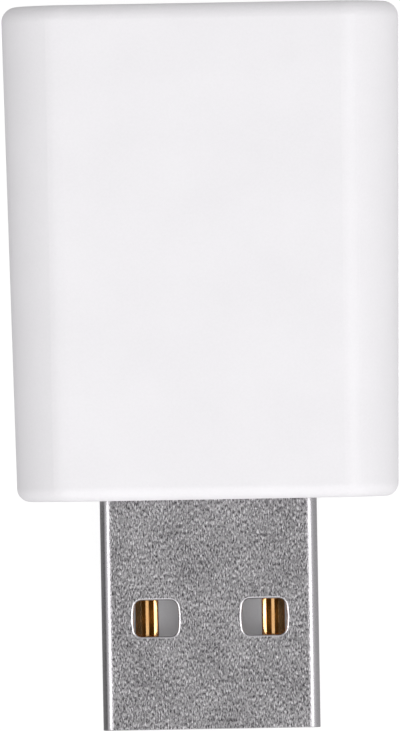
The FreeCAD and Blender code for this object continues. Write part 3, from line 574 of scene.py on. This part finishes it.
# One finish for each slot of the record. Its name says the material and how its surface was made.
FINISHES: dict[Slot, Finish] = {
    # White ABS from a spark-eroded tool: matt, with soft and slightly broken light along the creases.
    Slot.CASE: MouldedPlastic("case_moulded_abs"),
    # Tin-plated steel strip, folded: mottled grey walls between bright, smooth folds, and a painted highlight
    # on the windows' side edges.
    Slot.PLUG: PlatedSteel("plug_folded_plated_steel", relief=0.006),
    # Moulded polyester: a slightly darker white, with a finer grain than the case has.
    Slot.INSULATOR: MouldedPlastic(
        "plug_moulded_polyester", colour="#F1F0F3", shade="#E9E8EC", grain=Grain(0.08)
    ),
    # Stamped bronze under hard gold: crisp pale lines of painted highlight, with a painted shade of deep
    # amber between them.
    Slot.CONTACT: GoldPlate("contact_stamped_gold_plate"),
    # Reflowed solder: a soft grey shine that turns dull in patches.
    Slot.SOLDER: PolishedMetal(
        "joint_reflowed_solder",
        relief=0.002,
        roughness=(0.22, 0.3),
        colour="#C9C8CC",
        tarnish="#9C9AA0",
        line=Grain(0.2),
    ),
    # Laminate under solder mask: deep green with a faint check.
    Slot.BOARD: PrintedBoard("board_masked_laminate"),
    # Etched copper: a warm, even, half-dull metal.
    Slot.COPPER: PolishedMetal(
        "aerial_etched_copper",
        relief=0.002,
        roughness=(0.3, 0.38),
        colour="#E09A6E",
        tarnish="#B8693F",
        line=Grain(0.06),
    ),
    # Drawn tinplate: satin grey, with short and fine lines.
    Slot.CAN: PolishedMetal(
        "can_drawn_tinplate",
        relief=0.002,
        roughness=(0.26, 0.34),
        colour="#C4C5C8",
        tarnish="#A5A6AA",
        line=Grain(0.05, 12.0),
    ),
    # Moulded epoxy: near black and quite dull.
    Slot.EPOXY: MouldedPlastic(
        "package_moulded_epoxy", roughness=(0.49, 0.61), colour="#26272A", shade="#1B1C1F", grain=Grain(0.06)
    ),
    # Fired ceramic: an even, matt brown.
    Slot.CERAMIC: MouldedPlastic(
        "component_fired_ceramic", colour="#9A7450", shade="#7E5B3D", grain=Grain(0.07)
    ),
    # Cast resin: pale yellow and glossy.
    Slot.LENS: MouldedPlastic(
        "light_cast_resin", roughness=(0.14, 0.26), colour="#E9DFA6", shade="#D9CB84", grain=Grain(0.1)
    ),
    # Moulded nylon: dark grey, with a slight shine.
    Slot.NYLON: MouldedPlastic(
        "plunger_moulded_nylon", roughness=(0.39, 0.51), colour="#34353A", shade="#2A2B30"
    ),
}


@dataclass(frozen=True)
class Lamp:
    """A soft box that faces the object.

    Attributes:
        name: Name of the lamp.
        tilt: Degrees from straight above.
        turn: Degrees anticlockwise from +X, seen from above.
        size: How far the box reaches away from the middle and sideways, in metres.
        radiance: How bright the box looks, where 1 is white.
        lit: What it lights.
        distance: Metres from the object.
    """

    name: str
    tilt: float
    turn: float
    size: tuple[float, float]
    radiance: float
    lit: Lit = Lit.ALL
    distance: float = 0.8

    def hang(self) -> None:
        """Hangs the box. Its power is its radiance times pi times its area."""
        made = bpy.data.lights.new(self.name, "AREA")
        made.shape = "RECTANGLE"
        made.size, made.size_y = self.size
        made.energy = self.radiance * math.pi * self.size[0] * self.size[1]
        holder = bpy.data.objects.new(self.name, made)
        bpy.context.scene.collection.objects.link(holder)
        turn, tilt = math.radians(self.turn), math.radians(self.tilt)
        holder.location = (
            self.distance * math.sin(tilt) * math.cos(turn),
            self.distance * math.sin(tilt) * math.sin(turn),
            self.distance * math.cos(tilt),
        )
        holder.rotation_euler = (0.0, tilt, turn)
        holder.visible_camera = False
        holder.visible_diffuse = self.lit is not Lit.GLOSS
        holder.visible_glossy = self.lit is not Lit.MATT


# The front lamp adds to the surround's even light on the front face. The low ones light the slopes and the
# flanks, the right flank more than the left one. The strips show only in gloss, as the bright line along each
# fold of the plug and on the contacts.
LAMPS: tuple[Lamp, ...] = (
    Lamp("lamp_front", tilt=30.0, turn=-88.0, size=(0.6, 0.6), radiance=1.25),
    Lamp("lamp_low_front", tilt=76.0, turn=-90.0, size=(0.3, 0.6), radiance=2.8, lit=Lit.MATT),
    Lamp("lamp_side", tilt=74.0, turn=0.0, size=(0.3, 0.6), radiance=3.1, lit=Lit.MATT),
    Lamp("lamp_far_side", tilt=72.0, turn=180.0, size=(0.3, 0.6), radiance=1.6, lit=Lit.MATT),
    Lamp("strip_right", tilt=34.0, turn=0.0, size=(0.34, 0.3), radiance=4.0, lit=Lit.GLOSS),
    Lamp("strip_left", tilt=32.0, turn=180.0, size=(0.24, 0.3), radiance=5.0, lit=Lit.GLOSS),
)


@dataclass(frozen=True)
class Studio:
    """Pale floor, soft lamps, a white surround and a camera straight above, as in the photograph.

    Attributes:
        pixels_wide: Width of the photograph's frame.
        pixels_high: Height of the frame.
        pixels_per_mm: Size of the plug in the frame, from its standard width.
        centre_x: Pixel column on which the object's middle lies.
        centre_y: Pixel row on which it lies.
        roll: Degrees by which the object is turned anticlockwise in the frame.
        distance: Metres from the camera to the object's middle plane.
        clip: Nearest and farthest distance that the camera sees, in metres.
        sensor: Millimetres of sensor along the frame's long side.
        floor_reach: Half the floor's width, in metres.
        floor_drop: How far the floor lies under the flat back, in metres, so they don't share a plane.
        paper_seen: Colour of the floor's paper where the camera sees it.
        paper_grey: Its colour for the light on the object.
        glow: Strength of the white that is mixed into the paper.
        glow_seen: Share of that white where the camera sees the paper.
        glow_gloss: Shares of it that gloss shows, on the left and on the right.
        glow_sides: X of the places on the floor where those two are reached, in metres.
        flag_height: Height of the dark card that hangs over the object, in metres.
        flag_angle: Degrees from straight above to the card's edge.
        flag_shift: How far the card hangs towards the plug's tip, in metres.
        flag_tone: Colour of the card.
        light: Strength of the surround's even light on matt surfaces.
        dusk: Strength of the surround near the horizon in gloss, on the left and on the right.
        dusk_sides: X of the directions in which those two are reached.
        dusk_angles: Degrees above the horizon between which the white in gloss grows to full strength.
    """

    pixels_wide: float = 400.0
    pixels_high: float = 731.0
    pixels_per_mm: float = 18.06
    centre_x: float = 205.8
    centre_y: float = 366.2
    roll: float = 1.0
    distance: float = 1.0
    clip: tuple[float, float] = (0.1, 10.0)
    sensor: float = 36.0
    floor_reach: float = 4.0
    floor_drop: float = 0.01 * MM
    paper_seen: str = "#F4F4F4"
    paper_grey: str = "#9C9C9C"
    glow: float = 1.2
    glow_seen: float = 0.7
    glow_gloss: tuple[float, float] = (0.0, 0.45)
    glow_sides: tuple[float, float] = (-0.02, 0.02)
    flag_height: float = 0.7
    flag_angle: float = 12.0
    flag_shift: float = 0.08
    flag_tone: str = "#363636"
    light: float = 0.66
    dusk: tuple[float, float] = (0.07, 0.8)
    dusk_sides: tuple[float, float] = (-0.6, 0.6)
    dusk_angles: tuple[float, float] = (12.0, 26.0)

    def camera(self, middle_z: float) -> None:
        """Sets a long lens straight above the object.

        The object's middle lies off the frame's middle by (column - wide / 2, high / 2 - row) pixels. The
        camera stands off by as much the other way, turned by the roll.

        Args:
            middle_z: Height of the plane in which the frame's scale holds.
        """
        made = bpy.data.cameras.new("camera")
        made.sensor_width = self.sensor
        made.lens = self.sensor * self.distance / (self.pixels_high / self.pixels_per_mm * MM)
        made.clip_start, made.clip_end = self.clip
        holder = bpy.data.objects.new("camera", made)
        bpy.context.scene.collection.objects.link(holder)
        across = (self.pixels_wide / 2 - self.centre_x) / self.pixels_per_mm * MM
        along = (self.centre_y - self.pixels_high / 2) / self.pixels_per_mm * MM
        turn = -math.radians(self.roll)
        holder.location = (
            across * math.cos(turn) - along * math.sin(turn),
            across * math.sin(turn) + along * math.cos(turn),
            middle_z + self.distance,
        )
        holder.rotation_euler = (0.0, 0.0, turn)
        bpy.context.scene.camera = holder

    @staticmethod
    def sheet(name: str, reach: float, level: float, shift: float = 0.0) -> tuple[bpy.types.Object, Tree]:
        """Lays one level square that belongs to the studio and not to the object.

        Args:
            name: Name of the square and of its material.
            reach: Half its width, in metres.
            level: Its height, in metres.
            shift: How far its middle lies from the object's, along -Y, in metres.

        Returns:
            The square, and the empty tree of its material.
        """
        low, high = -reach - shift, reach - shift
        corners = [(-reach, low, level), (reach, low, level), (reach, high, level), (-reach, high, level)]
        mesh = bpy.data.meshes.new(name)
        mesh.from_pydata(corners, [], [(0, 1, 2, 3)])
        holder = bpy.data.objects.new(name, mesh)
        bpy.context.scene.collection.objects.link(holder)
        made = bpy.data.materials.new(name)
        made.use_nodes = True
        made.node_tree.nodes.clear()
        mesh.materials.append(made)
        return holder, made.node_tree

    @staticmethod
    def seen(tree: Tree, camera: float, gloss: Socket) -> Socket:
        """How much of the studio's white shows to each kind of ray.

        Args:
            tree: The material's or the world's tree.
            camera: Share for rays from the camera.
            gloss: Share for rays off a glossy surface or through a clear one.

        Returns:
            The share, which is 0 for the light on matt surfaces.
        """
        path = add_node(tree, "ShaderNodeLightPath").outputs
        direct = add_node(
            tree, "ShaderNodeMath", {0: path["Is Camera Ray"], 1: camera}, operation="MULTIPLY"
        ).outputs["Value"]
        inputs = {0: path["Is Glossy Ray"], 1: path["Is Transmission Ray"]}
        bounced = add_node(tree, "ShaderNodeMath", inputs, operation="ADD").outputs["Value"]
        inputs = {0: bounced, 1: gloss, 2: direct}
        return add_node(tree, "ShaderNodeMath", inputs, operation="MULTIPLY_ADD").outputs["Value"]

    def floor(self) -> None:
        """Lays the pale paper, white where the camera sees it and grey for the light on the object.

        The paper that the camera sees keeps the object's shadow, which takes the matt share of its white
        away. In gloss it is lighter on the right, as on the plug's right fold in the photograph.
        """
        _holder, tree = self.sheet("floor_paper", self.floor_reach, -self.floor_drop)
        direct = add_node(tree, "ShaderNodeLightPath").outputs["Is Camera Ray"]
        inputs = {SHARE: direct, FIRST: linear(self.paper_grey), SECOND: linear(self.paper_seen)}
        colour = add_node(tree, "ShaderNodeMix", inputs, data_type="RGBA").outputs[MIXED]
        paper = add_node(tree, "ShaderNodeBsdfDiffuse", {"Color": colour}).outputs["BSDF"]
        white = add_node(
            tree, "ShaderNodeEmission", {"Color": linear(WHITE), "Strength": self.glow}
        ).outputs["Emission"]
        place = add_node(tree, "ShaderNodeTexCoord").outputs["Object"]
        side = add_node(tree, "ShaderNodeSeparateXYZ", {"Vector": place}).outputs["X"]
        gloss = add_node(
            tree,
            "ShaderNodeMapRange",
            {
                "Value": side,
                "From Min": self.glow_sides[0],
                "From Max": self.glow_sides[1],
                "To Min": self.glow_gloss[0],
                "To Max": self.glow_gloss[1],
            },
        ).outputs["Result"]
        share = self.seen(tree, self.glow_seen, gloss)
        both = add_node(tree, "ShaderNodeMixShader", {0: share, 1: paper, 2: white}).outputs["Shader"]
        add_node(tree, "ShaderNodeOutputMaterial", {"Surface": both})

    def flag(self) -> None:
        """Hangs a dark card overhead, which only gloss shows, as the camera shows in polished metal."""
        reach = self.flag_height * math.tan(math.radians(self.flag_angle))
        holder, tree = self.sheet("flag_card", reach, self.flag_height, self.flag_shift)
        dark = add_node(
            tree, "ShaderNodeEmission", {"Color": linear(self.flag_tone), "Strength": 1.0}
        ).outputs["Emission"]
        add_node(tree, "ShaderNodeOutputMaterial", {"Surface": dark})
        holder.visible_camera = False
        holder.visible_diffuse = False
        holder.visible_shadow = False
        holder.visible_transmission = False
        holder.visible_volume_scatter = False

    def surround(self) -> None:
        """Makes the world white where it is seen, and gives matt surfaces an even light.

        In gloss the white falls off towards the horizon, as the far walls of a studio do beyond its lamps.
        """
        world = bpy.data.worlds.new("surround")
        world.use_nodes = True
        tree = world.node_tree
        tree.nodes.clear()
        way = add_node(tree, "ShaderNodeTexCoord").outputs["Generated"]
        parts = add_node(tree, "ShaderNodeSeparateXYZ", {"Vector": way}).outputs
        low = add_node(
            tree,
            "ShaderNodeMapRange",
            {
                "Value": parts["X"],
                "From Min": self.dusk_sides[0],
                "From Max": self.dusk_sides[1],
                "To Min": self.dusk[0] - self.light,
                "To Max": self.dusk[1] - self.light,
            },
        ).outputs["Result"]
        start, full = (math.sin(math.radians(angle)) for angle in self.dusk_angles)
        rest = 1.0 - self.light
        gloss = add_node(
            tree,
            "ShaderNodeMapRange",
            {"Value": parts["Z"], "From Min": start, "From Max": full, "To Min": low, "To Max": rest},
        ).outputs["Result"]
        strength = add_node(
            tree, "ShaderNodeMath", {0: self.seen(tree, rest, gloss), 1: self.light}, operation="ADD"
        ).outputs["Value"]
        shader = add_node(tree, "ShaderNodeBackground", {"Color": linear(WHITE), "Strength": strength})
        add_node(tree, "ShaderNodeOutputWorld", {"Surface": shader.outputs["Background"]})
        bpy.context.scene.world = world

    def build(self, middle_z: float) -> None:
        """Sets up the camera, the floor, the card, the surround and the lamps.

        Args:
            middle_z: Height of the object's middle plane.
        """
        self.camera(middle_z)
        self.floor()
        self.flag()
        self.surround()
        for lamp in LAMPS:
            lamp.hang()
        bpy.context.scene.view_settings.view_transform = "Standard"


class Finishes:
    """One material for each slot, built once and shared by the pieces."""

    def __init__(self) -> None:
        """Builds the material of every slot."""
        self.made = {slot: finish.material() for slot, finish in FINISHES.items()}

    def put_on(self, piece: bpy.types.Object, slot: Slot) -> None:
        """Gives a piece the finish of a slot.

        Args:
            piece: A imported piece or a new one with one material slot.
            slot: The slot of the record.
        """
        piece.material_slots[0].material = self.made[slot]
        log.info("dressed %s as %s", piece.name, self.made[slot].name)


def swept(name: str, rings: np.ndarray) -> bpy.types.Object:
    """Joins rings of points, in order along a path, to one closed skin with flat ends.

    Face (i, j) joins points j and j + 1 of ring i to the same points of ring i + 1, with j counted round the
    ring.

    Args:
        name: Name of the piece.
        rings: Points by ring, place round the ring and axis, in metres. Seen from the start, a ring runs
            clockwise.

    Returns:
        The piece, at the origin, with one empty material slot.
    """
    count, around = rings.shape[:2]
    here = np.arange(around)
    after = np.roll(here, -1)
    corners = np.stack([here, after, after + around, here + around], axis=-1)
    sides = corners[None] + (np.arange(count - 1) * around)[:, None, None]
    faces = sides.reshape(-1, 4).tolist()
    faces += [here[::-1].tolist(), (here + (count - 1) * around).tolist()]
    mesh = bpy.data.meshes.new(name)
    mesh.from_pydata(rings.reshape(-1, 3), [], faces)
    mesh.materials.append(None)
    mesh.shade_smooth()
    mesh.set_sharp_from_angle(angle=math.radians(SHARP_ANGLE))
    piece = bpy.data.objects.new(name, mesh)
    bpy.context.scene.collection.objects.link(piece)
    return piece


@dataclass(frozen=True)
class ContactSet:
    """The plug's four contacts: stamped strips with a coined line along the middle and rolled edges.

    Each strip dips into the tongue at its front end and ends in a narrower tail on the board. Sizes that the
    packed contact doesn't give are in millimetres.

    Attributes:
        nodes: Packed contacts that the strips stand for.
        section: Points of the upper face from its outer to its inner edge. Each has its place across, from
            0 to 1, the degrees by which the face leans inwards there, and the share of its painted highlight,
            whose lows are a painted shade.
        steps_across: Number of steps across the upper face.
        thickness: Thickness of the sheet.
        dip: How far the front end goes down.
        ramp: Length of the sloping front end.
        bend: Softness of the bend above the ramp.
        bend_end: Ramp lengths from the front end to where the bend is over.
        level_start: Ramp lengths from the front end to the first ring of the level part.
        tail: Width of the tail.
        tail_length: Length of the tail.
        narrowing: Length over which the strip narrows to its tail.
        rings: Number of rings on the ramp and its bend, the level part, the narrowing and the tail.
    """

    nodes: tuple[str, ...] = ("contact_power", "contact_data_minus", "contact_data_plus", "contact_ground")
    # The third value is the gold's painted highlight: 1 on the bright lines, 0 in the painted shade between.
    section: tuple[tuple[float, float, float], ...] = (
        (0.0, -60.0, 0.7),  # outer edge, rolled over
        (0.03, -20.0, 0.7),
        (0.06, -1.0, 0.7),  # outer flat
        (0.22, -0.5, 0.8),
        (0.24, -8.0, 0.9),  # fine outer line
        (0.27, -8.0, 0.9),
        (0.29, -0.5, 0.1),  # outer hollow
        (0.4, 0.0, 0.0),
        (0.46, 7.8, 0.9),  # coined line
        (0.56, 7.8, 0.9),
        (0.63, 2.0, 0.0),  # inner hollow
        (0.79, 2.5, 0.0),
        (0.83, 13.0, 0.9),  # inner slope, the brightest line
        (0.955, 14.5, 1.0),
        (1.0, 40.0, 0.5),  # inner edge, rolled over
    )
    steps_across: int = 90
    thickness: float = 0.3
    dip: float = 0.45
    ramp: float = 0.9
    bend: float = 0.06
    bend_end: float = 1.6
    level_start: float = 2.0
    tail: float = 0.8
    tail_length: float = 2.7
    narrowing: float = 0.2
    rings: tuple[int, int, int, int] = (25, 8, 9, 4)

    def crown(self) -> tuple[np.ndarray, np.ndarray, np.ndarray]:
        """Works out the upper face's section.

        The drop is the running sum of tan(lean) times the step across, less its lowest value.

        Returns:
            Places across from 0 to 1, the drop below the crest as a share of the width, and the share of the
            painted highlight on the gold, whose lows are a painted shade.
        """
        across, lean, painted_sheen = np.array(self.section).T
        place = np.linspace(0.0, 1.0, self.steps_across + 1)
        between = (place[1:] + place[:-1]) / 2
        slope = np.tan(np.radians(np.interp(between, across, lean)))
        drop = np.concatenate([[0.0], np.cumsum(slope / self.steps_across)])
        return place, drop - drop.min(), np.interp(place, across, painted_sheen)

    def stations(self, start: float, end: float) -> tuple[np.ndarray, np.ndarray, np.ndarray]:
        """Works out the strip's path.

        The strip falls by (a + sqrt(a * a + bend * bend)) / 2, where a is the straight ramp's fall, so the
        bend above the ramp is soft. The width goes from the strip's to the tail's along a half wave.

        Args:
            start: Y of the front end, in millimetres.
            end: Y of the tail's end.

        Returns:
            Places along Y, the fall below the level strip, and the share of the way from strip to tail.
        """
        neck = end - self.tail_length
        half = self.narrowing / 2
        on_ramp, on_level, on_neck, on_tail = self.rings
        y = np.concatenate(
            [
                np.linspace(start, start + self.ramp * self.bend_end, on_ramp),
                np.linspace(start + self.ramp * self.level_start, neck - self.narrowing, on_level),
                np.linspace(neck - half, neck + half, on_neck),
                np.linspace(neck + self.narrowing, end, on_tail),
            ]
        )
        straight = self.dip * (1.0 - (y - start) / self.ramp)
        fall = np.minimum((straight + np.sqrt(straight**2 + self.bend**2)) / 2, self.dip)
        narrowed = 0.5 - 0.5 * np.cos(np.pi * np.clip((y - neck) / self.narrowing + 0.5, 0.0, 1.0))
        return y, fall, narrowed

    def strip(self, node: str) -> bpy.types.Object:
        """Builds the strip that stands for one packed contact.

        X is the contact's middle plus the place across, less a half, times the width there. Z is the top of
        the contact less the fall and the drop, or less the fall and the thickness on the underside. The inner
        edge of the section faces the plug's middle, so on the right the section is mirrored, and its ring
        runs the other way round to keep the faces outwards.

        Args:
            node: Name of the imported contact, whose box gives the strip's place and width.

        Returns:
            The new piece.
        """
        low, high = (np.array(corner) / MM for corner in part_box(node))
        middle, width = (low[0] + high[0]) / 2, high[0] - low[0]
        inward = -1 if middle > 0 else 1
        place, drop, painted_sheen = self.crown()
        y, fall, narrowed = self.stations(low[1], high[1])
        wide = width + (self.tail - width) * narrowed
        ring_place = np.concatenate([place, [1.0, 0.0]])
        ring_drop = np.concatenate([drop * width, [self.thickness, self.thickness]])
        ring_painted_sheen = np.concatenate([painted_sheen, painted_sheen[[-1, 0]]])
        x = middle + inward * (ring_place - 0.5) * wide[:, None]
        z = high[2] - fall[:, None] - ring_drop
        rings = np.stack([x, np.broadcast_to(y[:, None], x.shape), z], axis=-1) * MM
        piece = swept(f"{node}_strip", rings[:, ::inward])
        # Each point carries its share of the gold's painted highlight; its lows are a painted shade.
        marks = piece.data.attributes.new(PAINTED_SHEEN, "FLOAT", "POINT")
        marks.data.foreach_set("value", np.tile(ring_painted_sheen[::inward], len(y)).astype(np.float32))
        return piece

    def build(self, finishes: Finishes) -> None:
        """Builds, dresses and places every strip.

        Args:
            finishes: The materials.
        """
        for node in self.nodes:
            piece = self.strip(node)
            finishes.put_on(piece, Slot.CONTACT)
            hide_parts(node)
            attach(piece, CASE_BODY)


@dataclass(frozen=True)
class PackedPieces:
    """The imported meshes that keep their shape.

    Attributes:
        nodes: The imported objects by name.
    """

    nodes: dict[str, bpy.types.Object]

    def dress(self, finishes: Finishes) -> None:
        """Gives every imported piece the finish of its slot, which its packed material names.

        Args:
            finishes: The materials.
        """
        for piece in self.nodes.values():
            finishes.put_on(piece, Slot(piece.material_slots[0].material.name.split(".")[0]))


def main() -> None:
    """Builds the studio and every piece in order."""
    logging.basicConfig(level=logging.INFO, format="%(name)s: %(message)s")
    low, high = cad_box
    Studio().build((low.z + high.z) / 2)
    finishes = Finishes()
    PackedPieces(frame["nodes"]).dress(finishes)
    ContactSet().build(finishes)


if __name__ == "__main__":
    main()
